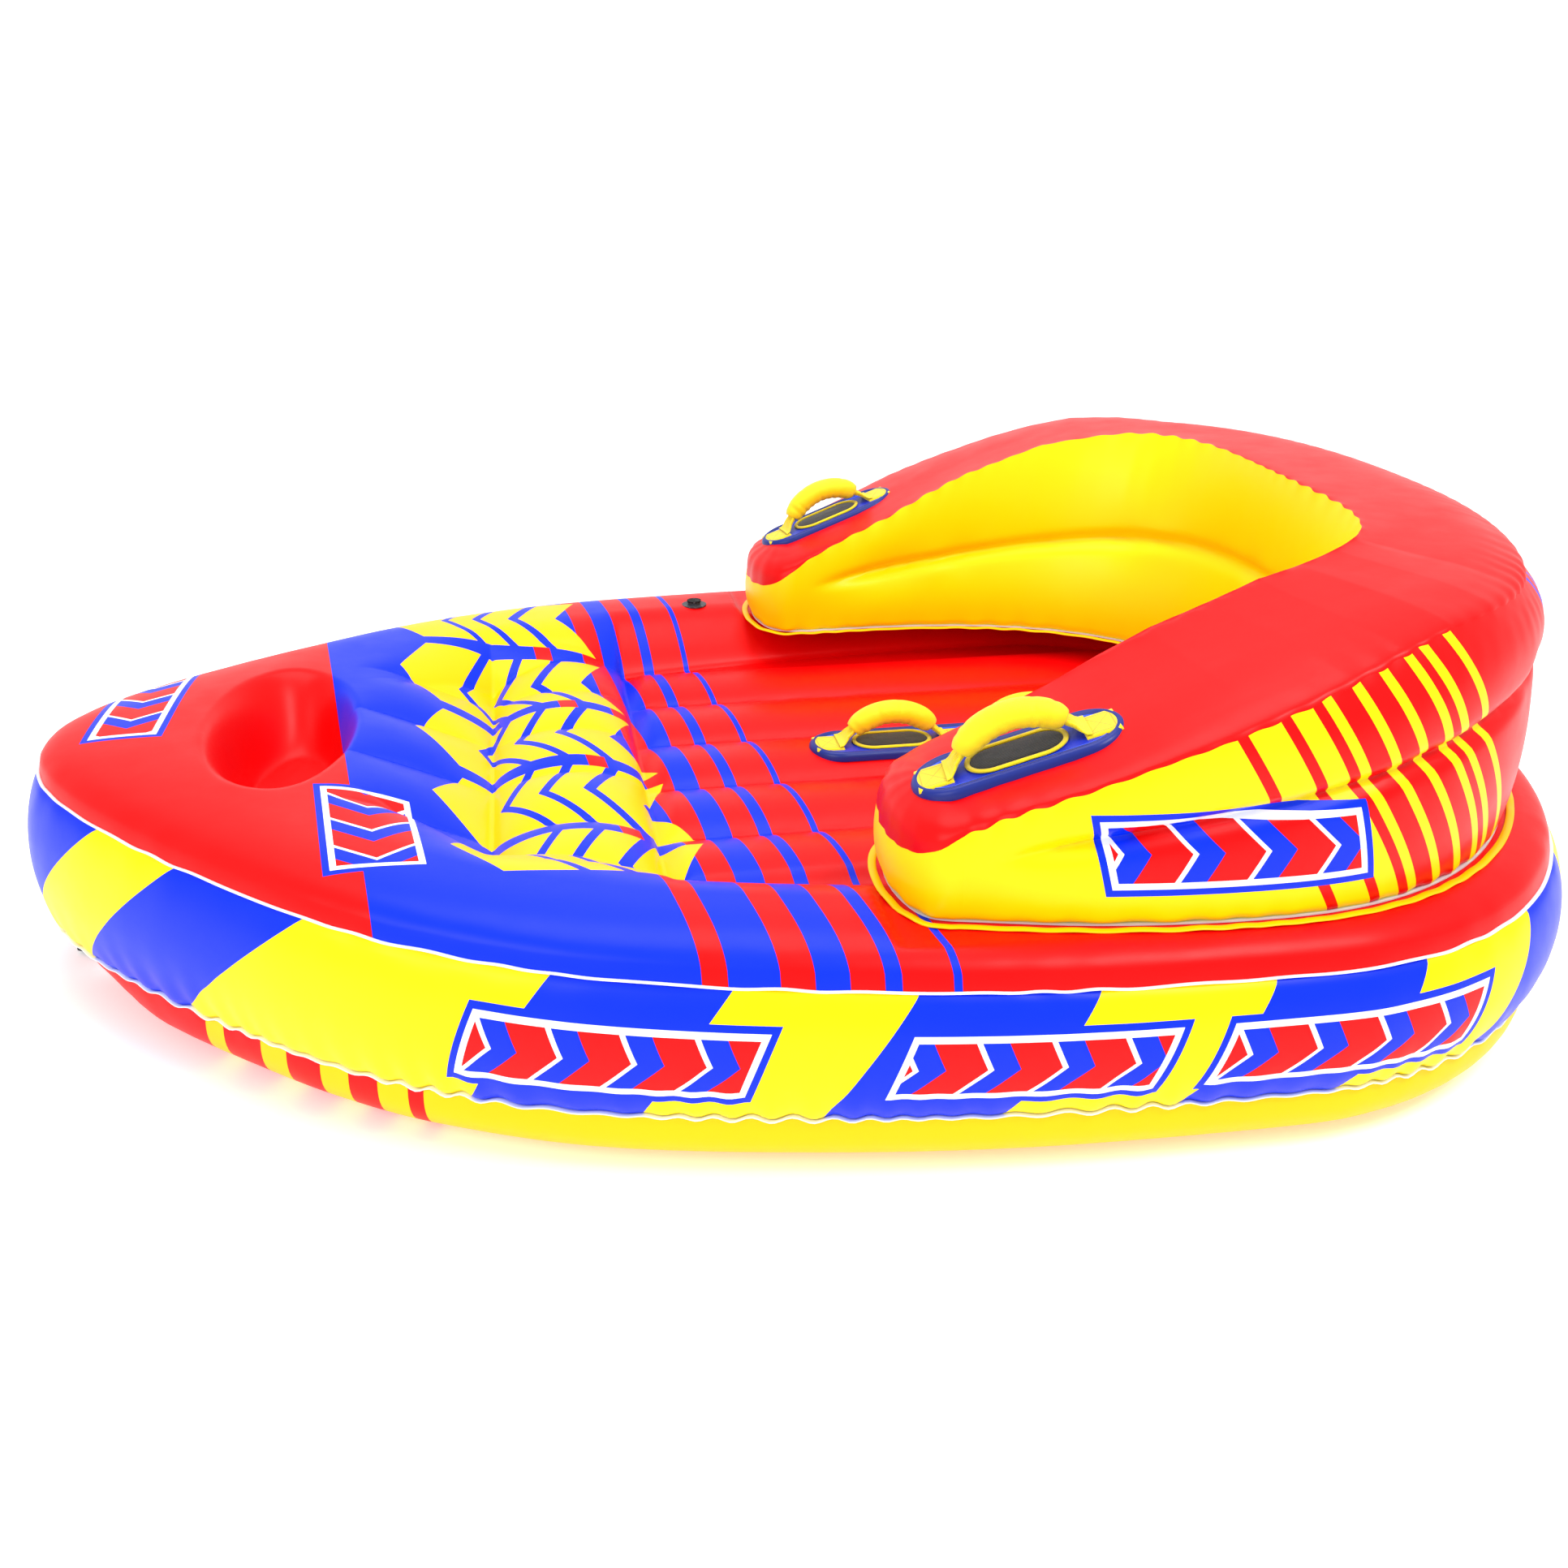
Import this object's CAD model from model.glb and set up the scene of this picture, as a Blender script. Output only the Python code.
"""Looks of the towable tube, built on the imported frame. Metres, +X bow, +Y port, +Z up."""

import math

import bmesh
import bpy
import numpy as np
from mathutils import Matrix, Vector


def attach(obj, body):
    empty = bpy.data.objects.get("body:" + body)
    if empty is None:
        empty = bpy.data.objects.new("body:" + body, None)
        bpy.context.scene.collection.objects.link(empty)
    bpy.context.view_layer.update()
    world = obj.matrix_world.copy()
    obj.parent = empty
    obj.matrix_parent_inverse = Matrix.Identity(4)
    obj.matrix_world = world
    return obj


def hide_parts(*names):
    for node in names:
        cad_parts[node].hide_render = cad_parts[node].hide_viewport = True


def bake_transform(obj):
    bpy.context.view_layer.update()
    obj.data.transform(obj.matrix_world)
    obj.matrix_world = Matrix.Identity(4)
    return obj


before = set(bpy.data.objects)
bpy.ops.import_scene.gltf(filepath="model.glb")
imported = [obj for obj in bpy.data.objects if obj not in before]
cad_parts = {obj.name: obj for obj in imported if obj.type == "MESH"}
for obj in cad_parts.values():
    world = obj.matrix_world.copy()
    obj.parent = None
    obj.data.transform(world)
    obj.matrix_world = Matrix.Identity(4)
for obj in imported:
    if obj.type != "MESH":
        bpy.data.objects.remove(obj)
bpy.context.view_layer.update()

# ------------------------------------------------------------------ outlines

SEAM_BEAM, SEAM_HALF_LENGTH, WIDEST = 0.709, 1.0035, -0.461
BAND_BULGE = 0.025
LOWER_SEAM, UPPER_SEAM = 0.081, 0.230
SHEER_START, SHEER_LENGTH, SHEER_RISE = -0.300, 1.3285, 0.057
RIM_RISE, RIM_CREST, RIM_WIDTH = 0.045, 0.122, 0.250
FLOOR = 0.228
BOW_SHAPE = (
    (0.985, 0.125), (0.94, 0.262), (0.87, 0.415), (0.80, 0.545), (0.73, 0.662),
    (0.65, 0.765), (0.53, 0.868), (0.37, 0.940), (0.20, 0.985), (0.0, 1.0))
STERN_POWER, STERN_STEPS = 2.15, 9
BOW_LOW, BOW_HIGH = 0.010, 0.022    # how far the bow is drawn in at the lower and the upper weld
ROUND = 900                         # points round the hull
SAMPLES = 60                        # samples between two control points, to measure length


def smooth(low, high, value):
    """A smooth step from 0 at low to 1 at high."""
    t = np.clip((value - low) / (high - low), 0, 1)
    return t * t * (3 - 2 * t)


def curve_at(points, params):
    """Points on a smooth closed curve through the given points."""
    n = len(points)
    i = np.floor(params).astype(int)
    t = (params - i)[:, None]
    a, b, c, d = (points[(i + k) % n] for k in (-1, 0, 1, 2))
    return 0.5 * (2 * b + (c - a) * t + (2 * a - 5 * b + 4 * c - d) * t ** 2
                  + (3 * b - a - 3 * c + d) * t ** 3)


def even_params(points, count):
    """Curve parameters spaced evenly along the closed curve, the distance at each, and its length."""
    fine = np.linspace(0, len(points), len(points) * SAMPLES + 1)
    line = curve_at(points, fine)
    steps = np.linalg.norm(np.diff(line, axis=0), axis=1)
    run = np.concatenate([[0], np.cumsum(steps)])
    at = np.linspace(0, run[-1], count + 1)
    return np.interp(at, run, fine)[:-1], at[:-1], run[-1]


def hull_points(inset, bow_inset=None):
    """Control points of the hull outline, drawn in by inset."""
    bow_inset = inset if bow_inset is None else bow_inset
    beam = SEAM_BEAM - inset
    stern, bow = SEAM_HALF_LENGTH - inset + WIDEST, SEAM_HALF_LENGTH - bow_inset - WIDEST
    port = [(WIDEST + bow, 0.0)] + [(WIDEST + bow * a, beam * b) for a, b in BOW_SHAPE]
    power = 2 / STERN_POWER
    for i in range(1, STERN_STEPS + 1):
        turn = math.pi / 2 * i / STERN_STEPS
        port.append((WIDEST - stern * math.sin(turn) ** power,
                     beam * max(math.cos(turn), 0.0) ** power))
    return np.array(port + [(x, -y) for x, y in reversed(port[1:-1])])


HULL_PARAMS, HULL_RUN, HULL_AROUND = even_params(hull_points(0), ROUND)
FROM_BOW = np.minimum(HULL_RUN, HULL_AROUND - HULL_RUN)


def hull_line(inset, bow_inset=None):
    """Evenly spaced points of the hull outline, drawn in by inset."""
    return curve_at(hull_points(inset, bow_inset), HULL_PARAMS)


def seam_height(x):
    """Height of the upper weld: level at the stern, rising towards the bow."""
    run = np.maximum((x - SHEER_START) / SHEER_LENGTH, 0)
    return UPPER_SEAM + SHEER_RISE * run ** 1.6


def ripple(run, pitch, drift=0.61):
    """An uneven ripple along a seam, from -1 to 1."""
    turn = 2 * math.pi * run
    phase = turn / pitch + 1.9 * np.sin(turn / drift) + 1.1 * np.sin(turn / (0.43 * drift))
    return np.sin(phase) * (0.65 + 0.35 * np.sin(turn / 0.377 + 1.0))


# -------------------------------------------------------------------- meshes

WELD = 0.00002          # points closer than this are merged


def grid_mesh(name, rows, uv=None, around=True):
    """A smooth mesh through rows of points; around joins each row's last point to its first."""
    rows = np.asarray(rows, float)
    count, width = rows.shape[:2]
    points = rows.reshape(-1, 3)
    columns = np.arange(width if around else width - 1)
    faces = []
    for r in range(count - 1):
        a, b = r * width + columns, r * width + (columns + 1) % width
        faces.append(np.stack([a, b, b + width, a + width], 1))
    faces = np.concatenate(faces)
    mesh = bpy.data.meshes.new(name)
    mesh.from_pydata(points.tolist(), [], faces.tolist())
    if uv is not None:
        flat = np.asarray(uv, float).reshape(-1, 2)
        corner = np.zeros(len(mesh.loops), dtype=np.int32)
        mesh.loops.foreach_get("vertex_index", corner)
        layer = mesh.uv_layers.new(name="metres")
        layer.data.foreach_set("uv", flat[corner].astype(np.float32).ravel())
    work = bmesh.new()
    work.from_mesh(mesh)
    bmesh.ops.remove_doubles(work, verts=work.verts, dist=WELD)
    bmesh.ops.dissolve_degenerate(work, edges=work.edges, dist=WELD / 2)
    bmesh.ops.recalc_face_normals(work, faces=work.faces)
    work.to_mesh(mesh)
    work.free()
    mesh.polygons.foreach_set("use_smooth", np.ones(len(mesh.polygons), bool))
    thing = bpy.data.objects.new(name, mesh)
    bpy.context.scene.collection.objects.link(thing)
    return thing


def hull_piece(thing, nodes, body="hull"):
    """Makes thing a piece that rides on a body and stands for CAD nodes."""
    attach(thing, body)
    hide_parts(*nodes)


def lift(line, z):
    """A flat line at height z."""
    return np.column_stack([line, np.broadcast_to(z, len(line))])


def flat_uv(rows):
    """UVs that are each point's own x and y in metres."""
    return np.asarray(rows)[..., :2]


# ------------------------------------------------------------------ materials


def linear(red, green, blue):
    """A colour given as screen values from 0 to 255."""
    def one(value):
        value /= 255
        return value / 12.92 if value <= 0.04045 else ((value + 0.055) / 1.055) ** 2.4
    return (one(red), one(green), one(blue), 1.0)


RED = linear(226, 0, 2)
BLUE = linear(0, 46, 232)
YELLOW = linear(255, 226, 0)
AMBER = linear(255, 205, 0)
WHITE = linear(244, 246, 250)
NAVY = linear(8, 34, 128)
BLACK = linear(16, 16, 19)
GREY = linear(58, 60, 66)


# A badge's borders in metres from its edge, and the shares of a chevron's pitch that end its red
# part and the white gap after it.
BLUE_BORDER, WHITE_BORDER = 0.008, 0.0155
RED_SHARE, WHITE_SHARE, CHEVRON_SLOPE = 0.56, 0.64, 0.8


class Paint:
    """A procedural material put together from a few kinds of node."""

    def __init__(self, name):
        self.material = bpy.data.materials.new(name)
        self.material.use_nodes = True
        self.tree = self.material.node_tree
        self.shader = self.tree.nodes["Principled BSDF"]
        self.coordinates = self.tree.nodes.new("ShaderNodeTexCoord")

    def put(self, socket, value):
        if isinstance(value, bpy.types.NodeSocket):
            self.tree.links.new(value, socket)
        else:
            socket.default_value = value

    def math(self, operation, a, b=None, c=None):
        node = self.tree.nodes.new("ShaderNodeMath")
        node.operation = operation
        for socket, value in zip(node.inputs, (a, b, c)):
            if value is not None:
                self.put(socket, value)
        return node.outputs[0]

    def split(self, kind):
        node = self.tree.nodes.new("ShaderNodeSeparateXYZ")
        self.put(node.inputs[0], self.coordinates.outputs[kind])
        return node.outputs

    def mix(self, share, a, b, blend="MIX"):
        node = self.tree.nodes.new("ShaderNodeMix")
        node.data_type, node.blend_type = "RGBA", blend
        self.put(node.inputs[0], share)
        self.put(node.inputs[6], a)
        self.put(node.inputs[7], b)
        return node.outputs[2]

    def bands(self, value, stops, low, high):
        """Flat bands of colour: stops are (where the band starts, its colour)."""
        ramp = self.tree.nodes.new("ShaderNodeValToRGB")
        ramp.color_ramp.interpolation = "CONSTANT"
        self.put(ramp.inputs[0], self.spread(value, low, high))
        elements = ramp.color_ramp.elements
        elements[1].position = 1.0
        elements[1].color = stops[-1][1]
        elements[0].color = stops[0][1]
        for start, colour in stops[1:]:
            elements.new((start - low) / (high - low)).color = colour
        return ramp.outputs[0]

    def noise(self, scale, detail=3.0):
        node = self.tree.nodes.new("ShaderNodeTexNoise")
        self.put(node.inputs["Vector"], self.coordinates.outputs["Object"])
        node.inputs["Scale"].default_value = scale
        node.inputs["Detail"].default_value = detail
        return node.outputs[0]

    def below(self, value, limit):
        return self.math("LESS_THAN", value, limit)

    def above(self, value, limit):
        return self.math("GREATER_THAN", value, limit)

    def both(self, a, b):
        return self.math("MULTIPLY", a, b)

    def grey(self, shade):
        """A grey whose three channels are all shade."""
        node = self.tree.nodes.new("ShaderNodeCombineColor")
        for socket in node.inputs:
            self.put(socket, shade)
        return node.outputs[0]

    def spread(self, value, low, high, new_low=0.0, new_high=1.0):
        """A value from low to high carried to new_low to new_high."""
        node = self.tree.nodes.new("ShaderNodeMapRange")
        self.put(node.inputs["Value"], value)
        limits = (("From Min", low), ("From Max", high), ("To Min", new_low), ("To Max", new_high))
        for socket, limit in limits:
            node.inputs[socket].default_value = limit
        return node.outputs[0]

    def badge(self, base, along, up, centre, half, lean, pitch):
        """A slanted badge of plain chevrons with a blue and a white border, over a base colour."""
        v = self.math("SUBTRACT", up, centre[1])
        u = self.math("SUBTRACT", along, centre[0])
        u = self.math("SUBTRACT", u, self.math("MULTIPLY", v, lean))
        height = self.math("ABSOLUTE", v)
        reach = self.math("SUBTRACT", self.math("ABSOLUTE", u), half[0])
        out = self.math("MAXIMUM", reach, self.math("SUBTRACT", height, half[1]))
        arrow = self.math("ADD", u, self.math("MULTIPLY", height, CHEVRON_SLOPE))
        turn = self.math("FRACT", self.math("DIVIDE", self.math("ADD", arrow, 10.0), pitch))
        chevrons = self.mix(self.below(turn, RED_SHARE), BLUE, RED)
        gap = self.both(self.below(turn, WHITE_SHARE), self.above(turn, RED_SHARE))
        chevrons = self.mix(gap, chevrons, WHITE)
        colour = self.mix(self.below(out, 0.0), base, BLUE)
        colour = self.mix(self.below(out, -BLUE_BORDER), colour, WHITE)
        return self.mix(self.below(out, -WHITE_BORDER), colour, chevrons)

    def bump(self, *layers):
        """Bumps from (height, strength, depth in metres) layers."""
        normal = None
        for height, strength, depth in layers:
            node = self.tree.nodes.new("ShaderNodeBump")
            self.put(node.inputs["Height"], height)
            node.inputs["Strength"].default_value = strength
            node.inputs["Distance"].default_value = depth
            if normal is not None:
                self.put(node.inputs["Normal"], normal)
            normal = node.outputs[0]
        self.put(self.shader.inputs["Normal"], normal)

    def finish(self, colour, roughness, worn=0.06, coat=0.0, metal=0.0, sheen=0.0, shine=0.3):
        """Colour with slight unevenness, and a roughness that varies a little."""
        cloud = self.noise(6.0, 5.0)
        shade = self.math("MULTIPLY_ADD", cloud, worn, 1 - worn * 0.6)
        self.put(self.shader.inputs["Base Color"], self.mix(1.0, colour, self.grey(shade), "MULTIPLY"))
        rough = self.math("MULTIPLY_ADD", self.noise(21.0, 4.0), 0.16, roughness - 0.08)
        self.put(self.shader.inputs["Roughness"], rough)
        self.shader.inputs["Coat Weight"].default_value = coat
        self.shader.inputs["Coat Roughness"].default_value = 0.22
        self.shader.inputs["Specular IOR Level"].default_value = shine
        self.shader.inputs["Metallic"].default_value = metal
        self.shader.inputs["Sheen Weight"].default_value = sheen
        return self.material


def vinyl(name, colour_of, roughness=0.38, coat=0.03):
    """Printed PVC over its fabric cover: soft waves, a fine grain and a light gloss."""
    paint = Paint(name)
    colour = colour_of(paint)
    paint.bump((paint.noise(5.0, 2.0), 0.35, 0.006), (paint.noise(34.0, 3.0), 0.12, 0.0015),
               (paint.noise(950.0, 2.0), 0.10, 0.0003))
    return paint.finish(colour, roughness, coat=coat, shine=0.16)


def band_print(paint):
    """Slanted yellow and blue panels round the side band, with three chevron badges a side."""
    uv = paint.split("UV")
    run, share = uv[0], uv[1]
    slant = paint.spread(run, 0.62, 0.88, 0.206, 0.095)
    q = paint.math("SUBTRACT", run, paint.math("MULTIPLY", share, slant))
    starts = (-0.30, 0.039, 0.199, 0.406, 0.810, 1.004, 1.198, 1.393, 1.591, 1.771, 1.964,
              2.160, 2.355, 2.550, 2.742)
    stops = [(start, (BLUE, YELLOW)[i % 2]) for i, start in enumerate(starts)]
    colour = paint.bands(q, stops, -0.30, 3.0)
    up = paint.math("MULTIPLY", share, UPPER_SEAM - LOWER_SEAM)
    for middle, reach in ((0.985, 0.165), (1.43, 0.15), (1.785, 0.165)):
        colour = paint.badge(colour, run, up, (middle, 0.072), (reach, 0.046), 0.35, 0.078)
    return colour


def deck_print(paint):
    """Red bow, blue bolster with yellow zigzags, blue and red stripes, then red."""
    spot = paint.split("Object")
    x, y = spot[0], spot[1]
    p = paint.math("MULTIPLY_ADD", y, 0.145, x)
    stops = [
        (-1.1, RED), (0.018, BLUE), (0.033, RED), (0.080, BLUE), (0.101, RED), (0.134, BLUE),
        (0.167, RED), (0.202, BLUE), (0.250, RED), (0.281, BLUE), (0.600, RED)]
    colour = paint.bands(p, stops, -1.1, 1.1)
    lane = paint.math("FRACT", paint.math("DIVIDE", paint.math("ADD", y, 10.66), 0.21))
    side = paint.math("ABSOLUTE", paint.math("SUBTRACT", lane, 0.5))
    inside = paint.both(paint.below(y, 0.46), paint.above(y, -0.59))
    block = paint.both(inside, paint.below(side, 0.43))
    arrow = paint.math("MULTIPLY_ADD", side, 0.11, p)
    block = paint.both(block, paint.below(arrow, 0.500))
    block = paint.both(block, paint.above(arrow, 0.232))
    cuts = ((0.2, AMBER), (0.292, BLUE), (0.308, AMBER), (0.352, BLUE), (0.366, AMBER),
            (0.404, BLUE), (0.416, AMBER))
    colour = paint.mix(block, colour, paint.bands(arrow, cuts, 0.2, 0.6))
    colour = paint.badge(colour, y, x, (-0.105, 0.868), (0.160, 0.050), 0.05, 0.075)
    return paint.badge(colour, y, p, (0.320, 0.585), (0.120, 0.060), 0.0, 0.075)


def bottom_print(paint):
    """Yellow from the stern, then four red stripes that widen towards a red bow."""
    spot = paint.split("Object")
    x, side = spot[0], paint.math("ABSOLUTE", spot[1])
    q = paint.math("MULTIPLY_ADD", side, -0.32, x)
    stops = [
        (-1.4, AMBER), (0.309, RED), (0.335, AMBER), (0.374, RED), (0.413, AMBER),
        (0.450, RED), (0.501, AMBER), (0.549, RED), (0.601, AMBER), (0.640, RED)]
    return paint.bands(q, stops, -1.4, 1.2)


def lines(spans, colour, ground):
    """Colour stops for lines, each a (middle, width), on a ground colour."""
    return [stop for middle, width in spans
            for stop in ((middle - width / 2, colour), (middle + width / 2, ground))]


def wall_print(paint):
    """Yellow arms; outside, red stripes widen into a red stern with yellow and blue lines."""
    uv = paint.split("UV")
    run, up = uv[0], uv[1]
    q = paint.math("MULTIPLY_ADD", up, 0.64, run)
    stops = [(-2.0, YELLOW)]
    stops += lines(((0.404, 0.009), (0.458, 0.017), (0.503, 0.022), (0.543, 0.025), (0.581, 0.029)),
                   RED, YELLOW)
    stops += [(0.607, RED)]
    stops += lines(((0.640, 0.010), (0.668, 0.008), (0.694, 0.006), (0.716, 0.004)), YELLOW, RED)
    stops += lines(((0.905, 0.008), (0.958, 0.008), (1.006, 0.009), (1.05, 0.010)), BLUE, RED)
    colour = paint.bands(q, stops, -2.0, 1.6)
    return paint.badge(colour, run, up, (0.288, 0.085), (0.150, 0.047), -0.25, 0.078)


def plain(colour):
    """One colour all over, in the form that vinyl asks for."""
    return lambda paint: colour


deck_vinyl = vinyl("deck_vinyl", deck_print)
band_vinyl = vinyl("band_vinyl", band_print, 0.36)
bottom_vinyl = vinyl("bottom_vinyl", bottom_print, 0.42)
wall_vinyl = vinyl("backrest_wall_vinyl", wall_print, 0.36)
top_vinyl = vinyl("backrest_top_vinyl", plain(RED), 0.36)
seam_vinyl = vinyl("seam_vinyl", plain(WHITE), 0.4, 0.1)
base_seam_vinyl = vinyl("base_seam_vinyl", plain(AMBER), 0.4, 0.1)
inner_vinyl = vinyl("inner_vinyl", plain(linear(214, 216, 218)), 0.5, 0.0)


def patch_paint():
    """Moulded PVC: a navy rim, a light ridge line, then blue."""
    paint = Paint("moulded_patch")
    edge = paint.split("UV")[0]
    stops = [(0.0, NAVY), (0.0135, linear(40, 84, 238)), (0.0155, linear(0, 40, 190)), (0.2, BLUE)]
    colour = paint.bands(edge, stops, 0.0, 0.3)
    paint.bump((paint.noise(90.0, 3.0), 0.15, 0.001), (paint.noise(1100.0, 2.0), 0.15, 0.0003))
    return paint.finish(colour, 0.42, coat=0.15)


patch_vinyl = patch_paint()


def webbing_paint(name, colour, pitch=0.0016, stitched=False):
    """Woven webbing: warp and weft ribs, and sewn lines where stitched."""
    paint = Paint(name)
    uv = paint.split("UV")
    warp = paint.math("SINE", paint.math("MULTIPLY", uv[0], 2 * math.pi / pitch))
    weft = paint.math("SINE", paint.math("MULTIPLY", uv[1], 2 * math.pi / (1.6 * pitch)))
    weave = paint.math("MULTIPLY", warp, weft)
    shade = paint.math("MULTIPLY_ADD", weave, 0.10, 0.90)
    tone = paint.mix(1.0, colour, paint.grey(shade), "MULTIPLY")
    if stitched:
        across = paint.math("SUBTRACT", paint.math("ABSOLUTE", uv[1]), 0.0195)
        along = paint.math("SUBTRACT", paint.math("ABSOLUTE", uv[0]), 0.0145)
        frame_line = paint.math("ABSOLUTE", paint.math("MAXIMUM", across, along))
        cross = paint.math("ABSOLUTE", paint.math(
            "SUBTRACT", paint.math("ABSOLUTE", uv[1]),
            paint.math("MULTIPLY", paint.math("ABSOLUTE", uv[0]), 1.34)))
        within = paint.below(paint.math("MAXIMUM", across, along), 0.0)
        cross = paint.math("ADD", cross, paint.math("MULTIPLY_ADD", within, -1.0, 1.0))
        thread = paint.below(paint.math("MINIMUM", frame_line, cross), 0.0007)
        tone = paint.mix(paint.math("MULTIPLY", thread, 0.75), tone, linear(196, 150, 0))
    paint.bump((weave, 0.5, 0.0004), (paint.noise(140.0, 3.0), 0.2, 0.0008))
    return paint.finish(tone, 0.68, worn=0.1, sheen=0.25)


webbing = webbing_paint("webbing", YELLOW)
sewn_webbing = webbing_paint("sewn_webbing", YELLOW, stitched=True)
binding_paint = webbing_paint("binding", YELLOW, 0.0011)
tow_webbing = webbing_paint("tow_webbing", BLACK)


def fabric_paint(name, colour, weave_scale, roughness, sheen):
    """Cloth or foam: a fine weave, soft creases and sheen."""
    paint = Paint(name)
    uv = paint.split("UV")
    across = paint.math("SINE", paint.math("MULTIPLY", uv[0], weave_scale))
    around = paint.math("SINE", paint.math("MULTIPLY", uv[1], weave_scale))
    weave = paint.math("ADD", across, around)
    paint.bump((paint.noise(60.0, 4.0), 0.45, 0.0022), (weave, 0.25, 0.0003))
    return paint.finish(colour, roughness, worn=0.12, sheen=sheen)


grip_fabric = fabric_paint("grip_fabric", YELLOW, 4200.0, 0.5, 0.2)
guard_fabric = fabric_paint("guard_pad", BLACK, 2600.0, 0.8, 0.3)
foam_paint = fabric_paint("foam", linear(196, 196, 190), 900.0, 0.9, 0.0)


def plain_part(name, colour, roughness, metal=0.0):
    """A moulded or turned part: fine texture and faint scuffs."""
    paint = Paint(name)
    scuff = paint.noise(260.0, 6.0)
    tone = paint.mix(paint.math("MULTIPLY", paint.math("GREATER_THAN", scuff, 0.62), 0.25),
                     colour, linear(150, 150, 152))
    paint.bump((paint.noise(420.0, 4.0), 0.12, 0.0004))
    return paint.finish(tone, roughness, metal=metal)


valve_plastic = plain_part("valve_plastic", GREY, 0.38)
valve_rubber = plain_part("valve_rubber", BLACK, 0.7)
connector_plastic = plain_part("connector_plastic", BLACK, 0.45)
steel = plain_part("steel", linear(176, 180, 186), 0.26, 1.0)


def dress(thing, material):
    """Gives thing this one material."""
    thing.data.materials.clear()
    thing.data.materials.append(material)
    return thing


# ---------------------------------------------------------------------- hull

LAP = 0.001                                 # how far a skin starts from its weld
FLANGE_ROOT = 0.002                         # how far a flange reaches in from its weld
GROUND_GAP = 0.0005
LOW_WAVE, HIGH_WAVE = 0.0036, 0.0012        # heights of the lower and upper welds' waves
BILGE, BILGE_SWELL = 0.095, 0.012
RAKED_BOW, PUFFED_BOW = 0.160, 0.085
LOW_PUCKER, HIGH_PUCKER = 0.0032, 0.0016    # depths of the band's puckers at its two welds

seam_ripple = ripple(FROM_BOW, 0.043)
high_ripple = ripple(FROM_BOW + 0.4, 0.095)
low_wave, high_wave = LOW_WAVE * seam_ripple, HIGH_WAVE * high_ripple


def spine_rows(edge, count, low, high):
    """Rows that close an outline towards a line along the middle."""
    spine = np.column_stack([np.clip(edge[:, 0], low, high), np.zeros(len(edge))])
    return [edge + (spine - edge) * (i / count) for i in range(count + 1)]


def bottom_panel():
    """Bottom: a rounded bilge and raked bow over a flat ground face."""
    rows = []
    full = smooth(0.10, 0.34, FROM_BOW)[:, None]
    for turn in np.linspace(0, math.pi / 2, 16):
        tuck, drop = 1 - math.cos(turn), math.sin(turn)
        z = (LOWER_SEAM - LAP) * (1 - drop) + GROUND_GAP
        wobble = low_wave * (1 - drop) ** 3
        swell = BILGE_SWELL * math.sin(2 * turn)
        raked = hull_line(BILGE * tuck ** 0.7, BOW_LOW + RAKED_BOW * tuck ** 0.7)
        puffed = hull_line(BILGE * tuck - swell, BOW_LOW + PUFFED_BOW * tuck - swell)
        rows.append(lift(raked + (puffed - raked) * full, z + wobble))
    flat = rows[-1][:, :2]
    for line in spine_rows(flat, 24, -0.62, 0.45)[1:]:
        rows.append(lift(line, GROUND_GAP))
    thing = grid_mesh("bottom_skin", rows[::-1], flat_uv(rows[::-1]))
    hull_piece(dress(thing, bottom_vinyl), ["bottom_panel"])


def side_band():
    """Side band: swollen between its welds, puckered along both of them."""
    top = seam_height(hull_line(0, BOW_HIGH)[:, 0]) - LAP
    rows, uv = [], []
    for v in np.linspace(0, 1, 34):
        swell = math.sin(math.pi * v) ** 0.62 if 0 < v < 1 else 0.0
        low_pucker = seam_ripple * math.exp(-v / 0.13)
        high_pucker = high_ripple * math.exp(-(1 - v) / 0.10)
        out = BAND_BULGE * swell - LOW_PUCKER * low_pucker * math.sqrt(swell) - HIGH_PUCKER * high_pucker
        short = BOW_LOW + (BOW_HIGH - BOW_LOW) * v
        base, swollen = hull_line(0, short), hull_line(-BAND_BULGE, short - BAND_BULGE)
        line = base + (swollen - base) * (out / BAND_BULGE)[:, None]
        z = LOWER_SEAM + LAP + (top - LOWER_SEAM - LAP) * v
        rows.append(lift(line, z + low_wave * (1 - v) ** 4))
        uv.append(np.column_stack([FROM_BOW, np.full(len(line), v)]))
    thing = grid_mesh("band_skin", rows, uv)
    hull_piece(dress(thing, band_vinyl), ["side_band"])


def squared(value, power):
    """A sine or cosine pushed out towards -1 and 1, for a squarer section."""
    return np.sign(value) * np.abs(value) ** power


def flange(name, line_at, height, thick, wide, material, node):
    """A thin weld flange: a flat rounded section carried round an outline."""
    rows, uv = [], []
    for turn in np.linspace(0, 2 * math.pi, 9):
        reach = 0.5 + 0.5 * squared(math.cos(turn), 0.6)
        line = line_at(FLANGE_ROOT - wide * reach)
        rows.append(lift(line, height + thick / 2 * squared(math.sin(turn), 0.6)))
        uv.append(np.column_stack([np.arange(len(line)) * 0.006, np.full(len(line), reach * 0.01)]))
    thing = grid_mesh(name, rows, uv)
    hull_piece(dress(thing, material), [node])


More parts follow.
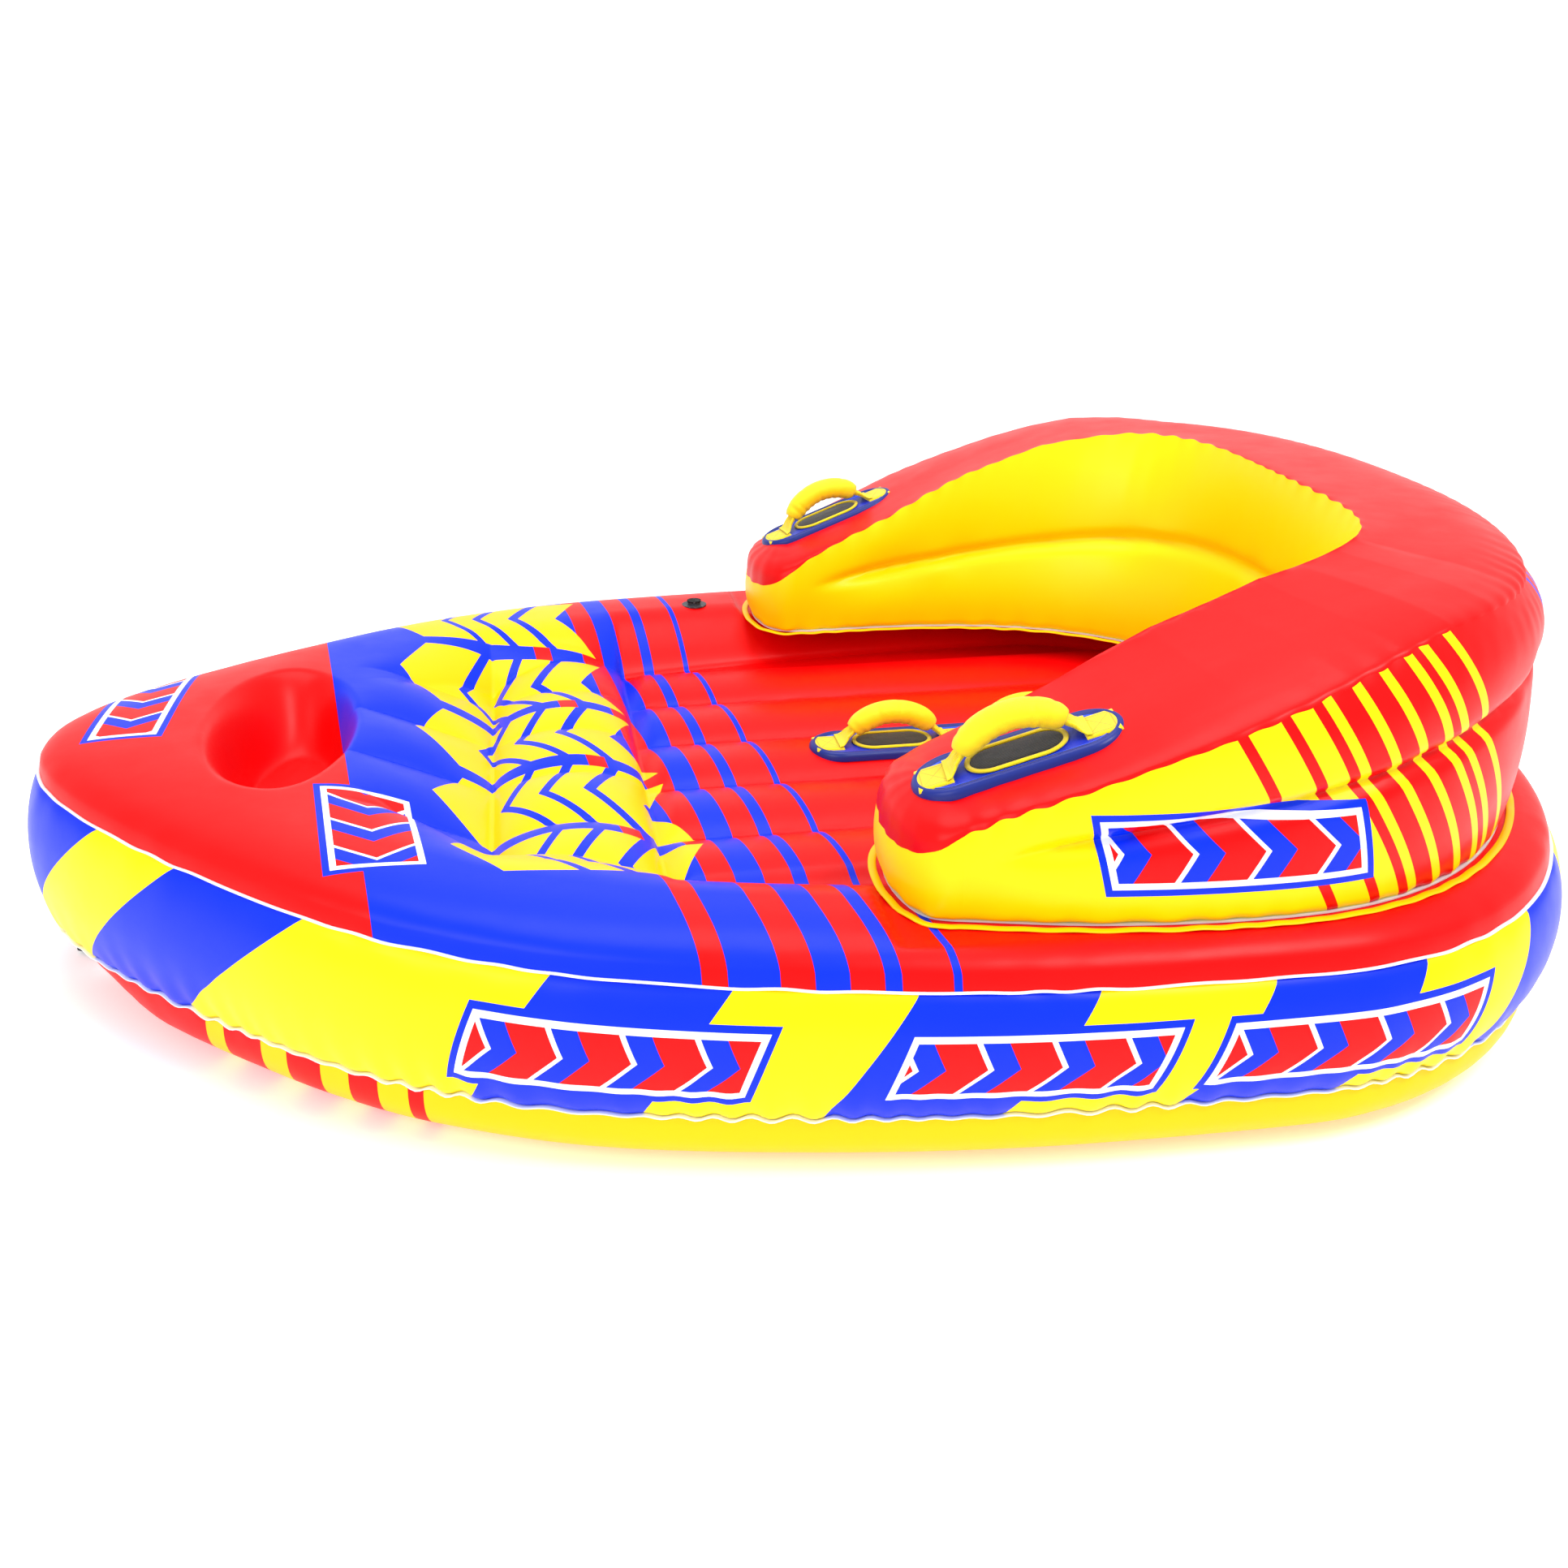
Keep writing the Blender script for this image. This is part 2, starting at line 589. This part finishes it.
LANE = 0.160                                # pitch of the floor's grooves
SEAT_SAG, SEAT_PUFF = 0.020, 0.019
HUMP_START, HUMP_LENGTH, HUMP_SAG, HUMP_RISE = 0.203, 0.201, 0.012, 0.042
CLIMB_START, CLIMB_LENGTH, CLIMB_SAG, CLIMB_GROOVE = 0.404, 0.196, 0.014, 0.016
BOW_PUFF = 0.006
WELL_X, WELL_HALF_LENGTH, WELL_HALF_WIDTH, WELL_FLOOR = 0.675, 0.0825, 0.185, 0.212
UNDER_BACKREST = 0.2695                     # the deck stays below the backrest's base


def deck_height(x, y, d):
    """Height of the deck: puffed rim, sewn seat floor, front bolster and bow well."""
    seam = seam_height(x)
    crest = seam + RIM_RISE
    t = np.clip(d / RIM_CREST, 0, 1)
    outer = seam + RIM_RISE * (1 - (1 - t) ** 3.2) ** (1 / 2.4)
    puff = np.abs(np.cos(math.pi * y / LANE)) ** 0.6
    lanes = puff * smooth(-0.70, -0.60, x) * smooth(0.206, 0.165, x)
    seat = FLOOR - SEAT_SAG + SEAT_PUFF * lanes * smooth(0.34, 0.30, np.abs(y) - 0.06)
    hump_run = np.clip((x - HUMP_START) / HUMP_LENGTH, 0, 1)
    hump = FLOOR - HUMP_SAG + HUMP_RISE * np.sin(math.pi * hump_run) ** 0.6 * (0.75 + 0.25 * puff)
    climb = np.clip((x - CLIMB_START) / CLIMB_LENGTH, 0, 1)
    bolster = FLOOR - CLIMB_SAG + (crest - FLOOR + CLIMB_SAG) * np.sin(math.pi / 2 * climb) ** 0.75
    bolster = bolster - CLIMB_GROOVE * (1 - puff) * np.sin(math.pi * climb)
    floor = np.where(x < HUMP_START, seat, np.where(x < CLIMB_START, hump, bolster))
    s = np.clip((d - RIM_CREST) / (RIM_WIDTH - RIM_CREST), 0, 1)
    inner = floor + (crest - floor) * np.cos(math.pi / 2 * s) ** 0.8
    z = np.where(d < RIM_CREST, outer, inner)
    z = z + BOW_PUFF * smooth(0.62, 0.72, x) * smooth(0.04, 0.16, d)
    ring = np.sqrt(((x - WELL_X) / WELL_HALF_LENGTH) ** 2 + (y / WELL_HALF_WIDTH) ** 2)
    well = WELL_FLOOR + 0.006 * ring ** 2
    z = z + (well - z) * smooth(1.22, 0.60, ring)
    return np.minimum(z, UNDER_BACKREST + 0.2 * smooth(-0.02, 0.05, x))


def deck():
    """Deck skin from the upper weld to the middle of the boat."""
    rows = []
    insets = np.concatenate([np.linspace(0, 0.03, 9)[:-1], np.linspace(0.03, RIM_WIDTH, 46)])
    for d in insets:
        line = hull_line(d, d + BOW_HIGH)
        tug = high_wave * math.exp(-d / 0.012)
        rows.append(lift(line, deck_height(line[:, 0], line[:, 1], d) + LAP + tug))
    edge = hull_line(RIM_WIDTH, RIM_WIDTH + BOW_HIGH)
    for line in spine_rows(edge, 76, -0.60, 0.66)[1:]:
        rows.append(lift(line, deck_height(line[:, 0], line[:, 1], RIM_WIDTH) + LAP))
    thing = grid_mesh("deck_skin", rows, flat_uv(rows))
    hull_piece(dress(thing, deck_vinyl), ["deck_panel"])


bottom_panel()
side_band()
deck()
flange("lower_weld", lambda inset: hull_line(inset, inset + BOW_LOW),
       LOWER_SEAM + low_wave, 0.0022, 0.0085, seam_vinyl, "lower_seam_flange")
flange("upper_weld", lambda inset: hull_line(inset, inset + BOW_HIGH),
       seam_height(hull_line(0, BOW_HIGH)[:, 0]) + high_wave, 0.0018, 0.0062, seam_vinyl,
       "upper_seam_flange")

# ------------------------------------------------------------------ backrest

BACK_BASE = 0.273
HALF_WIDTH, BACK_WIDEST, BACK_STERN = 0.667, -0.430, -0.952
COCKPIT, COCKPIT_TURN, COCKPIT_STERN, COCKPIT_POWER = 0.393, -0.185, -0.680, 2.45
ARM_FRONT, NOSE = -0.027, 0.062
CORNER = ARM_FRONT - NOSE
ARM_TAPER = 0.049
FLARED_HALF, FLARED_STERN, FLARED_POWER = 0.402, -0.706, 4.2
SIDE, TIP = 420, 30                 # points along half a side and round an arm's front
PAIRING = 0.085                     # slides the outer points so that they face their inner ones
INNER_START = -0.04                 # the inner wall's run counts down from here
SWOLLEN, LEAN_IN, STERN_LEAN = 0.014, 0.012, 0.030
TOP_SWELL = 0.746                   # share of SWOLLEN that is left at the top weld
CREASE_LOW, CREASE_SLOPE, CREASE_ROOM, CREASE_DEPTH = 0.060, 0.178, 0.045, 0.010
TOP_WAVE, TOP_TUG, BASE_WAVE, BASE_TUG, CREASE_FOLD = 0.0011, 0.0016, 0.0008, 0.0018, 0.0022

# Heights by x: the top panel's crown and its two welds.
TOP_LINE = ((-0.952, 0.603), (-0.880, 0.602), (-0.826, 0.600), (-0.695, 0.586), (-0.552, 0.556),
            (-0.466, 0.527), (-0.380, 0.499), (-0.062, 0.391))
OUTER_SEAM = ((-0.952, 0.556), (-0.90, 0.560), (-0.80, 0.567), (-0.70, 0.571), (-0.623, 0.567),
              (-0.554, 0.549), (-0.480, 0.527), (-0.433, 0.510), (-0.376, 0.490), (-0.297, 0.463),
              (-0.216, 0.431), (-0.131, 0.398), (-0.089, 0.376), (-0.050, 0.350), (-0.027, 0.339))
INNER_SEAM = ((-0.700, 0.597), (-0.640, 0.594), (-0.604, 0.589), (-0.493, 0.568), (-0.362, 0.520),
              (-0.300, 0.489), (-0.243, 0.457), (-0.155, 0.416), (-0.110, 0.393), (-0.089, 0.378),
              (-0.050, 0.350), (-0.027, 0.339))


def profile(table, x):
    """The height that a table gives at x."""
    xs, zs = np.array(sorted(table)).T
    return np.interp(x, xs, zs)


def at_shares(points, shares):
    """Points at shares of an open line's length, and the distance at each."""
    run = np.concatenate([[0], np.cumsum(np.linalg.norm(np.diff(points, axis=0), axis=1))])
    at = np.asarray(shares) * run[-1]
    return np.column_stack([np.interp(at, run, points[:, i]) for i in range(2)]), at


def superquarter(x_start, x_end, half, power):
    """A quarter superellipse from (x_start, half) to (x_end, 0)."""
    turn = np.linspace(0, math.pi / 2, 400)
    x = x_start + (x_end - x_start) * np.sin(turn) ** (2 / power)
    return np.column_stack([x, half * np.maximum(np.cos(turn), 0) ** (2 / power)])


def half_lines():
    """Port halves of the outer, inner and flared inner outlines, from the arm's front to the stern."""
    share = np.linspace(1, 0, 120)
    straight = np.column_stack([
        BACK_WIDEST + (CORNER - BACK_WIDEST) * share, HALF_WIDTH - ARM_TAPER * share ** 2])
    outer = np.vstack([straight, superquarter(BACK_WIDEST, BACK_STERN, HALF_WIDTH, STERN_POWER)[1:]])
    inner = np.vstack([
        [(CORNER, COCKPIT)], superquarter(COCKPIT_TURN, COCKPIT_STERN, COCKPIT, COCKPIT_POWER)])
    flared = np.vstack([
        [(CORNER, COCKPIT)], superquarter(COCKPIT_TURN, FLARED_STERN, FLARED_HALF, FLARED_POWER)])
    share = np.linspace(0, 1, SIDE)
    paired = share - PAIRING * np.sin(math.pi * share)
    return at_shares(outer, paired), at_shares(inner, share), at_shares(flared, share)[0]


(outer_half, outer_run), (inner_half, inner_run), flared_half = half_lines()
nose_middle = np.array([CORNER, (outer_half[0, 1] + COCKPIT) / 2])
nose_half = (outer_half[0, 1] - COCKPIT) / 2
nose_turn = np.linspace(0, math.pi, TIP + 2)[1:-1]
nose = np.column_stack([
    CORNER + NOSE * np.sin(nose_turn) ** 0.8, nose_middle[1] - nose_half * np.cos(nose_turn)])
mirror = np.array([1, -1])

# The closed outline: port outer wall to the stern, starboard outer wall, its nose, the inner
# walls and the port nose. The arrays after it follow the same points.
outline = np.vstack([
    outer_half, (outer_half * mirror)[::-1][1:], (nose * mirror)[::-1],
    inner_half * mirror, inner_half[::-1][1:], nose])
flare = np.vstack([
    np.zeros((2 * SIDE - 1 + TIP, 2)), (flared_half - inner_half) * mirror,
    (flared_half - inner_half)[::-1][1:], np.zeros((TIP, 2))])
middle_half = (outer_half + flared_half) / 2
medial = np.vstack([
    middle_half, (middle_half * mirror)[::-1][1:], np.tile(nose_middle * mirror, (TIP, 1)),
    middle_half * mirror, middle_half[::-1][1:], np.tile(nose_middle, (TIP, 1))])
run_u = np.concatenate([
    outer_run, outer_run[::-1][1:], np.full(TIP, INNER_START / 2), INNER_START - inner_run,
    (INNER_START - inner_run)[::-1][1:], np.full(TIP, INNER_START / 2)])
walk = np.concatenate([[0], np.cumsum(np.linalg.norm(np.diff(outline, axis=0), axis=1))])
is_inner = np.concatenate([
    np.zeros(2 * SIDE - 1), np.linspace(0, 1, TIP), np.ones(2 * SIDE - 1), np.linspace(1, 0, TIP)])
tangent = np.roll(outline, -1, axis=0) - np.roll(outline, 1, axis=0)
tangent /= np.linalg.norm(tangent, axis=1)[:, None]
outward = np.column_stack([tangent[:, 1], -tangent[:, 0]])
kernel = np.ones(9) / 9
outward = np.column_stack([
    np.convolve(np.concatenate([outward[-4:, i], outward[:, i], outward[:4, i]]), kernel, "valid")
    for i in range(2)])
outward /= np.linalg.norm(outward, axis=1)[:, None]
seam_flat = (profile(OUTER_SEAM, outline[:, 0]) * (1 - is_inner)
             + profile(INNER_SEAM, (outline + flare)[:, 0]) * is_inner)
top_ripple = ripple(walk, 0.036)
seam_top = seam_flat + TOP_WAVE * top_ripple
base_ripple = ripple(walk + 0.2, 0.052)
parted = smooth(-0.105, -0.230, outline[:, 0])
lean_top = STERN_LEAN * (1 - is_inner) * smooth(-0.30, -0.62, outline[:, 0])
seam_out = TOP_SWELL * SWOLLEN - LEAN_IN - lean_top - TOP_TUG * top_ripple
seam_line = outline + flare + outward * seam_out[:, None]


def backrest_wall():
    """Wall: two swollen tubes, one over the other, that merge towards the arm fronts."""
    crease = BACK_BASE + CREASE_LOW + (ARM_FRONT - outline[:, 0]) * CREASE_SLOPE
    crease = np.minimum(crease, seam_top - CREASE_ROOM)
    rows, uv = [], []
    for v in np.linspace(0, 1, 46):
        z = BACK_BASE + (seam_top - BACK_BASE) * v
        low = np.clip((z - BACK_BASE) / (crease - BACK_BASE), 0, 1)
        high = np.clip((z - crease) / (seam_top - crease), 0, 1)
        part = np.where(z < crease, low, high)
        open_top = np.where(z < crease, 1.0, 0.8)
        lobes = SWOLLEN * np.maximum(np.sin(math.pi * part * open_top), 0) ** 0.55
        whole = SWOLLEN * math.sin(math.pi * v * 0.8) ** 0.55 if v > 0 else 0.0
        swell = whole * (1 - parted) + lobes * parted
        swell = swell - CREASE_DEPTH * parted * np.exp(-((z - crease) / 0.010) ** 2)
        fold = CREASE_FOLD * ripple(walk, 0.17) * np.exp(-((z - crease) / 0.030) ** 2) * parted
        pucker = -BASE_TUG * base_ripple * np.exp(-(z - BACK_BASE) / 0.012)
        rim = -TOP_TUG * top_ripple * np.exp(-(seam_top - z) / 0.008)
        out = swell - LEAN_IN - lean_top * high ** 2.5 + fold + pucker + rim
        rows.append(lift(outline + flare * v ** 1.5 + outward * out[:, None], z))
        uv.append(np.column_stack([run_u, z - BACK_BASE]))
    thing = grid_mesh("backrest_wall_skin", rows, uv)
    hull_piece(dress(thing, wall_vinyl), ["backrest_wall", "backrest_baffle"])


def backrest_top():
    """Top panel: crowned from the outer weld to the inner one, rounded over the arm fronts."""
    rows = []
    low_side = profile(OUTER_SEAM, outer_half[:, 0])
    high_side = profile(INNER_SEAM, flared_half[:, 0])
    crown = np.maximum(profile(TOP_LINE, middle_half[:, 0]), (low_side + high_side) / 2 + 0.006)
    tip = np.full(TIP, crown[0])
    centre_z = np.concatenate([crown, crown[::-1][1:], tip, crown, crown[::-1][1:], tip])
    for t in np.concatenate([np.linspace(0, 0.2, 11)[:-1], np.linspace(0.2, 1, 22)]):
        line = seam_line + (medial - seam_line) * t
        line = line + outward * (0.003 * math.sin(math.pi * min(t / 0.35, 1.0)))
        rise = math.sqrt(1 - (1 - t) ** 2)
        z = seam_flat + (centre_z - seam_flat) * rise
        rows.append(lift(line, z + TOP_WAVE * top_ripple * math.exp(-t / 0.04)))
    thing = grid_mesh("backrest_top_skin", rows, flat_uv(rows))
    hull_piece(dress(thing, top_vinyl), ["backrest_top_panel"])


backrest_wall()
backrest_top()
flange("backrest_base_weld", lambda inset: outline - outward * inset, 0.272 + BASE_WAVE * base_ripple,
       0.0024, 0.0098, base_seam_vinyl, "backrest_base_flange")

# ------------------------------------------------------------------- handles

PATCH_TOP, PATCH_WIDTH, ARM_PATCH, CENTRE_PATCH = 0.005, 0.096, 0.240, 0.442
TAB_LENGTH, TAB_HALF = 0.040, 0.0255
GRIP_BEND, GRIP_APEX, GRIP_RADIUS, GRIP_END = 0.080, 0.044, 0.016, 0.009
TILT = math.radians(45)             # the grip's arc ends this far from its top
STRAP_HALF, STRAP_GATHER = 0.0250, 0.0145
GUARD_PAD, GUARD_EDGE = (0.104, 0.050), (0.116, 0.062)
RING = 160                          # points round a patch or a guard
ARM_X, ARM_Y, ARM_TOE = -0.169, 0.534, 7.2
ARM_END_X, ARM_END_TOP = -0.062, 0.391
ARM_SLOPE = math.atan(0.108 / 0.318)
CENTRE_X, CENTRE_SHIFT = -0.262, 0.101


def stadium_rings(length, width, insets, heights):
    """Rings of a round-ended outline, each drawn in by an inset, at the given heights."""
    turn = np.linspace(0, 2 * math.pi, RING, endpoint=False)
    reach = length / 2 - width / 2
    rows = []
    for inset, z in zip(insets, heights):
        radius = max(width / 2 - inset, 0.0)
        x = radius * np.cos(turn) + np.where(np.cos(turn) >= 0, reach, -reach)
        rows.append(np.column_stack([x, radius * np.sin(turn), np.full(RING, z)]))
    return np.array(rows)


def carried(rows, where):
    """Rows of local points carried to a handle's place."""
    rows = np.asarray(rows, float)
    matrix = np.array(where)
    return rows @ matrix[:3, :3].T + matrix[:3, 3]


def patch(name, length, where, node):
    """Moulded patch with a raised bead round its edge and a ridge inside it."""
    section = ((0, -0.004), (0.0004, 0.0025), (0.0025, 0.0062), (0.0055, 0.0078), (0.0085, 0.0078),
               (0.011, 0.0062), (0.0125, 0.0052), (0.0135, 0.0056), (0.0145, 0.0060), (0.0155, 0.0054),
               (0.017, PATCH_TOP), (0.030, PATCH_TOP), (PATCH_WIDTH / 2, PATCH_TOP))
    insets, heights = zip(*section)
    rows = stadium_rings(length, PATCH_WIDTH, insets, heights)
    uv = [np.column_stack([np.full(RING, inset), np.zeros(RING)]) for inset in insets]
    thing = grid_mesh(name, carried(rows, where), uv)
    hull_piece(dress(thing, patch_vinyl), [node])


def tab_piece(name, where, starts, node):
    """Flat sewn webbing ends."""
    low, high = PATCH_TOP - 0.0004, PATCH_TOP + 0.0026
    xs = np.array([0, 0.0004, 0.0012, *np.linspace(0.003, TAB_LENGTH - 0.003, 9), TAB_LENGTH - 0.0012,
                   TAB_LENGTH - 0.0004, TAB_LENGTH])
    ys = np.array([-TAB_HALF, -TAB_HALF + 0.0005, *np.linspace(-TAB_HALF + 0.002, TAB_HALF - 0.002, 11),
                   TAB_HALF - 0.0005, TAB_HALF])
    lift_x = np.minimum(np.minimum(xs, TAB_LENGTH - xs) / 0.0012, 1) ** 0.5
    lift_y = np.minimum((TAB_HALF - np.abs(ys)) / 0.0010, 1) ** 0.5
    for index, start in enumerate(starts):
        grid = np.zeros((len(xs), len(ys), 3))
        grid[..., 0] = (start + xs)[:, None]
        grid[..., 1] = ys
        grid[..., 2] = low + (high - low) * lift_x[:, None] * lift_y
        uv = np.zeros((len(xs), len(ys), 2))
        uv[..., 0] = (xs - TAB_LENGTH / 2)[:, None]
        uv[..., 1] = ys
        tab = grid_mesh(f"{name}_{index}", carried(grid, where), uv, around=False)
        hull_piece(dress(tab, sewn_webbing), [node])


def arc_point(angle):
    """A point of the grip's arc in the handle's XZ plane; angle is from the top."""
    return (GRIP_BEND * math.sin(angle),
            PATCH_TOP + GRIP_APEX - GRIP_BEND + GRIP_BEND * math.cos(angle))


def grip_sleeve(name, where, seed, body, node):
    """Padded grip: a bent, puffed sleeve, gathered at its ends, with soft cross folds."""
    chance = np.random.default_rng(seed)
    turn = np.linspace(0, 2 * math.pi, 40, endpoint=False)
    folds = [(chance.uniform(-0.9, 0.9), chance.uniform(0, 6.28), chance.uniform(0.5, 1.0))
             for _ in range(9)]
    rows, uv = [], []
    shares = np.concatenate([[-1.0], np.linspace(-1, 1, 61), [1.0]])
    sizes = GRIP_RADIUS * (1.04 - 0.30 * np.abs(shares) ** 7)
    sizes[[0, -1]] = GRIP_END
    for share, size in zip(shares, sizes):
        angle = TILT * share
        crease = sum(
            deep * np.exp(-((share - at) / 0.045) ** 2) * np.maximum(np.cos(turn - side), 0) ** 2
            for at, side, deep in folds)
        ribs = 0.5 * np.sin(share * 31 + 1.3 * np.sin(turn)) * np.maximum(-np.cos(turn), 0)
        radius = size - 0.0011 * crease - 0.0009 * ribs
        cx, cz = arc_point(angle)
        along = np.array([math.sin(angle), math.cos(angle)])
        out = radius * np.cos(turn)
        y = radius * 1.06 * np.sin(turn)
        rows.append(np.column_stack([cx + along[0] * out, y, cz + along[1] * out]))
        uv.append(np.column_stack([np.full(len(turn), share * 0.063), turn * GRIP_RADIUS]))
    thing = grid_mesh(name, carried(rows, where), uv)
    hull_piece(dress(thing, grip_fabric), [node], body)


def strap(name, where, node):
    """Webbing from both tabs up into the grip, gathered on its way; it bends as the grip rocks."""
    end_x, end_z = arc_point(TILT)
    corners = np.array([
        (0.0800, PATCH_TOP + 0.0042, STRAP_HALF), (0.0745, PATCH_TOP + 0.0050, 0.0235),
        (0.0700, PATCH_TOP + 0.0085, 0.0200), (0.0660, PATCH_TOP + 0.0135, 0.0160),
        (end_x + 0.002, end_z - 0.001, 0.0125), (end_x - 0.006, end_z + 0.008, 0.0105)])
    fine = np.linspace(0, len(corners) - 1, 24)
    path = np.column_stack([np.interp(fine, np.arange(len(corners)), corners[:, i]) for i in range(3)])
    along = np.gradient(path[:, :2], axis=0)
    along /= np.linalg.norm(along, axis=1)[:, None]
    normal = np.column_stack([along[:, 1], -along[:, 0]])
    gather = (STRAP_HALF - path[:, 2]) / STRAP_GATHER
    turn = np.linspace(0, 2 * math.pi, 36, endpoint=False)
    for index, side in enumerate((1, -1)):
        rows, uv = [], []
        for (x, z, half), (nx, nz), pull in zip(path, normal, gather):
            y = half * squared(np.cos(turn), 0.5)
            thick = 0.0014 + 0.0016 * pull
            fold = 0.0022 * pull * np.cos(y / half * 3.6 * math.pi / 2)
            off = thick * squared(np.sin(turn), 0.6) + fold
            rows.append(np.column_stack([side * (x + nx * off), y, z + nz * off]))
            uv.append(np.column_stack([np.full(len(turn), x + z), y]))
        thing = grid_mesh(f"{name}_{index}", carried(rows, where), uv)
        dress(thing, webbing)
        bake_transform(thing)
        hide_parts(node)


def guard(name, where, pad_node, binding_node):
    """Knuckle guard: a dark crowned pad inside a bound yellow edge."""
    section = ((0, 0.0012), (0.002, 0.0022), (0.006, 0.0027), (0.012, 0.0032), (0.020, 0.0035),
               (0.025, 0.0036))
    insets, crown = zip(*section)
    rows = stadium_rings(*GUARD_PAD, insets, [PATCH_TOP + height for height in crown])
    pad = grid_mesh(f"{name}_pad", carried(rows, where), flat_uv(rows))
    hull_piece(dress(pad, guard_fabric), [pad_node])
    rows, uv = [], []
    for i, turn in enumerate(np.linspace(0, 2 * math.pi, 13)):
        inset = 0.0030 - 0.0031 * math.cos(turn)
        z = PATCH_TOP + 0.0019 + 0.0021 * math.sin(turn)
        rows.append(stadium_rings(*GUARD_EDGE, [inset], [z])[0])
        uv.append(np.column_stack([np.arange(RING) * 0.0019, np.full(RING, i * 0.0012)]))
    edge = grid_mesh(f"{name}_edge", carried(rows, where), uv)
    hull_piece(dress(edge, binding_paint), [binding_node])


def handle(name, where, seed):
    """One complete grab handle over its patch."""
    grip_sleeve(f"{name}_sleeve", where, seed, f"{name}_grip", f"{name}_grip_sleeve")
    strap(f"{name}_webbing", where, f"{name}_strap")
    guard(f"{name}_guard", where, f"{name}_knuckle_guard", f"{name}_guard_binding")


def arm_place(sign):
    """Frame of an arm's handle: on the sloping arm top, toed in towards the bow."""
    turn = Matrix.Rotation(ARM_SLOPE, 4, "Y") @ Matrix.Rotation(math.radians(-sign * ARM_TOE), 4, "Z")
    height = ARM_END_TOP + (ARM_END_X - ARM_X) * math.tan(ARM_SLOPE)
    return Matrix.Translation((ARM_X, sign * ARM_Y, height)) @ turn


def centre_place(shift):
    """Frame of a handle on the middle line of the seat floor."""
    return Matrix.Translation((CENTRE_X + shift, 0, FLOOR))


for side, sign in (("port", 1), ("starboard", -1)):
    place = arm_place(sign)
    patch(f"{side}_arm_patch_skin", ARM_PATCH, place, f"{side}_arm_patch")
    tab_piece(f"{side}_arm_tab", place, (0.073, -0.113), f"{side}_arm_webbing_tabs")
    handle(f"{side}_arm", place, 11 + sign)
middle = centre_place(0)
patch("centre_patch_skin", CENTRE_PATCH, middle, "centre_patch")
tab_piece("centre_tab", middle, (0.174, -0.020, -0.214), "centre_webbing_tabs")
handle("centre_front", centre_place(CENTRE_SHIFT), 21)
handle("centre_rear", centre_place(-CENTRE_SHIFT), 22)

# ------------------------------------------------------------ carried over parts

FINISHES = {
    "floor_webs": inner_vinyl, "footwell_web": inner_vinyl, "bow_well_web": inner_vinyl,
    "backrest_base_panel": inner_vinyl, "hull_valve_base": valve_plastic,
    "backrest_valve_base": valve_plastic, "hull_valve_plug": valve_rubber,
    "backrest_valve_plug": valve_rubber, "hull_valve_flap": valve_rubber,
    "backrest_valve_flap": valve_rubber, "tow_patch": seam_vinyl, "tow_strap": tow_webbing,
    "tow_connector": connector_plastic, "tow_bar": steel}
for name, material in FINISHES.items():
    dress(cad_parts[name], material)
for name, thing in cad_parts.items():
    if name.endswith("_grip_core"):
        dress(thing, foam_paint)

# ------------------------------------------------------------------- the set


FLOOR_DROP = 0.0008                 # the studio floor lies just under the tube
SWEEP_START, SWEEP = -4, 0.18       # where the backdrop starts to rise, and how fast


def floor_paint():
    """A pale matt floor that glows a little, so that it stays white in the picture."""
    paint = Paint("studio_floor")
    paint.bump((paint.noise(3.0, 2.0), 0.02, 0.001))
    paint.shader.inputs["Emission Color"].default_value = (1.0, 1.0, 1.0, 1.0)
    paint.shader.inputs["Emission Strength"].default_value = 0.25
    return paint.finish(linear(250, 250, 250), 0.75, worn=0.01)


set_rows = []
for y in np.linspace(6, -9, 40):
    rise = 0.0 if y > SWEEP_START else SWEEP * (y - SWEEP_START) ** 2
    set_rows.append([(x, y, rise - FLOOR_DROP) for x in np.linspace(-9, 9, 12)])
studio = grid_mesh("studio_floor", set_rows, flat_uv(set_rows), around=False)
dress(studio, floor_paint())

world = bpy.context.scene.world or bpy.data.worlds.new("studio")
bpy.context.scene.world = world
world.use_nodes = True
world.node_tree.nodes["Background"].inputs[0].default_value = (1.0, 1.0, 1.0, 1.0)
world.node_tree.nodes["Background"].inputs[1].default_value = 0.75


def softbox(name, place, target, width, height, power):
    """A rectangular soft light at place that faces target."""
    lamp = bpy.data.lights.new(name, "AREA")
    lamp.shape, lamp.size, lamp.size_y, lamp.energy = "RECTANGLE", width, height, power
    thing = bpy.data.objects.new(name, lamp)
    thing.location = place
    thing.rotation_euler = (Vector(target) - Vector(place)).to_track_quat("-Z", "Y").to_euler()
    bpy.context.scene.collection.objects.link(thing)


softbox("key", (-1.6, 1.8, 3.2), (-0.3, 0, 0.3), 1.6, 1.2, 70)
softbox("fill", (2.6, 2.4, 2.2), (0.2, 0, 0.2), 2.4, 1.6, 45)
softbox("top", (0.2, -0.6, 3.6), (0, 0, 0.2), 3.0, 2.0, 60)

camera = bpy.data.cameras.new("photo_view")
camera.lens, camera.sensor_width = 35.40, 36.0
camera.clip_start, camera.clip_end = 0.05, 60
viewer = bpy.data.objects.new("photo_view", camera)
viewer.location = (0.3353, 2.0045, 1.0645)
viewer.rotation_euler = Vector((-0.1529, -0.9034, -0.4007)).to_track_quat("-Z", "Y").to_euler()
bpy.context.scene.collection.objects.link(viewer)
bpy.context.scene.camera = viewer
bpy.context.scene.view_settings.view_transform = "Standard"
